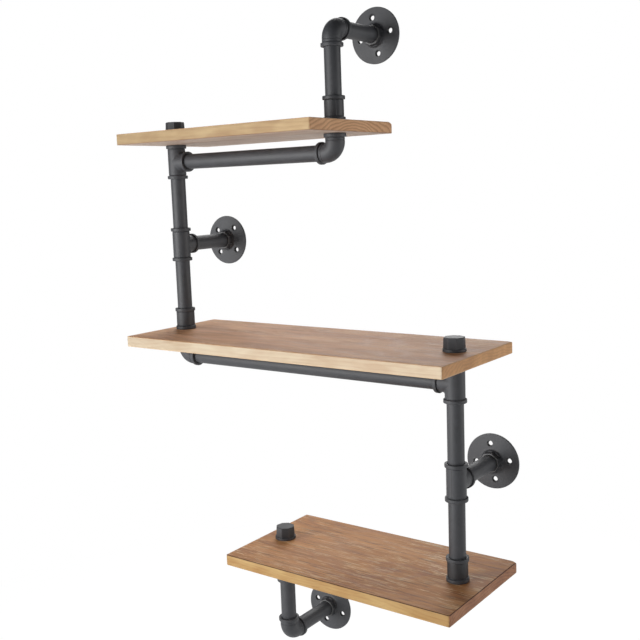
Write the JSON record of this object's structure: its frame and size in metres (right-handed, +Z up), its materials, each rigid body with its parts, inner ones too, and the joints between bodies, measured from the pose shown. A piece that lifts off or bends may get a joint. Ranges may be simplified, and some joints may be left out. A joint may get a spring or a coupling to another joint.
{
  "type": "wall shelf",
  "caption": "Stepped wall shelf: pine boards clamped on a line of dark iron pipe that is held to the wall by round flanges.",
  "frame": {"origin": "on the wall face, on the axis of the top flange", "axes": "+X to the right along the wall as seen from the room, +Y into the wall, +Z up"},
  "size_m": [0.6648, 0.246, 1.1504],
  "materials": {
    "fittings": "matte charcoal powder coat on a cast surface",
    "pipes": "matte charcoal powder coat on smooth steel pipe",
    "boards": "brown stained pine, brushed, with eased edges"
  },
  "bodies": {
    "root": {"top_board": "boards", "middle_board": "boards", "bottom_board": "boards", "top_elbow": "fittings", "top_board_elbow": "fittings", "middle_board_elbow": "fittings", "bottom_board_elbow": "fittings", "bottom_elbow": "fittings", "top_board_tee": "fittings", "left_wall_tee": "fittings", "middle_board_tee": "fittings", "right_wall_tee": "fittings", "bottom_board_tee": "fittings", "top_board_coupling": "fittings", "middle_board_coupling": "fittings", "bottom_board_coupling": "fittings", "top_board_cap": "fittings", "middle_board_cap": "fittings", "bottom_board_cap": "fittings", "top_flange": "fittings", "left_flange": "fittings", "right_flange": "fittings", "bottom_flange": "fittings", "top_board_coupling_nipple": "pipes", "middle_board_coupling_nipple": "pipes", "bottom_board_coupling_nipple": "pipes", "top_board_cap_nipple": "pipes", "middle_board_cap_nipple": "pipes", "bottom_board_cap_nipple": "pipes", "top_upright_pipe": "pipes", "left_upper_pipe": "pipes", "left_lower_pipe": "pipes", "right_upper_pipe": "pipes", "right_lower_pipe": "pipes", "bottom_upright_pipe": "pipes", "top_level_pipe": "pipes", "middle_level_pipe": "pipes", "bottom_level_pipe": "pipes", "top_wall_nipple": "pipes", "left_wall_nipple": "pipes", "right_wall_nipple": "pipes", "bottom_wall_nipple": "pipes"}
  },
  "joints": []
}
